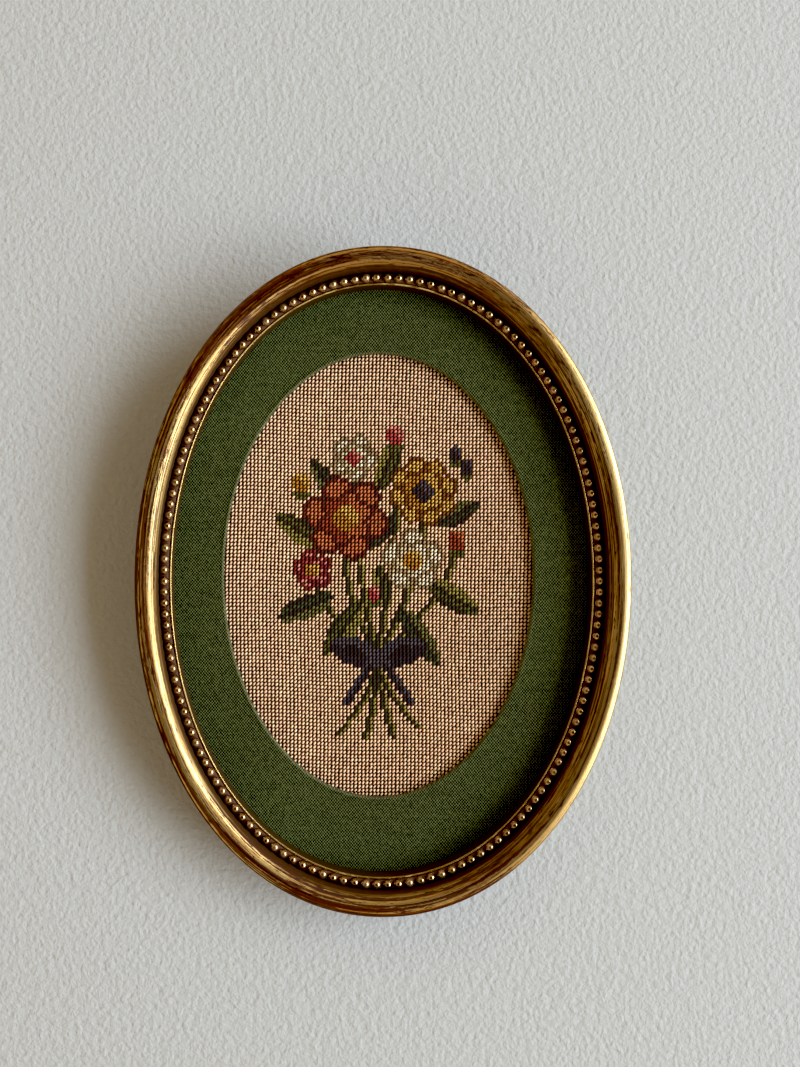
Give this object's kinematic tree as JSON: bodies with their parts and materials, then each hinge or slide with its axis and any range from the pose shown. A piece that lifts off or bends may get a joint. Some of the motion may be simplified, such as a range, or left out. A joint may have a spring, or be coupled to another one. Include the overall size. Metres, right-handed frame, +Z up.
{
  "type": "framed embroidery with oval picture frame",
  "caption": "Oval gilt frame with a beaded inner course, a green cloth-covered oval mat and a petit-point canvas, closed by a plain back board and hung on a wall.",
  "frame": {"origin": "middle of the flat back of the back board, on the wall plane", "axes": "+Z up as the frame hangs, +Y back towards the wall, the stitched front faces -Y"},
  "size_m": [0.1326, 0.015, 0.1792],
  "materials": {
    "gilt_wood": "rubbed gold leaf over red-brown ground",
    "gilt_beads": "bronze-gold with dark patina",
    "green_cloth": "fine plain weave, matt",
    "wool_stitches": "petit-point stitches, matt",
    "board": "plain brown board"
  },
  "bodies": {
    "root": {"frame_rail": "gilt_wood", "bead_course": "gilt_beads", "mat": "green_cloth", "stitched_canvas": "wool_stitches", "back_board": "board"}
  },
  "joints": []
}
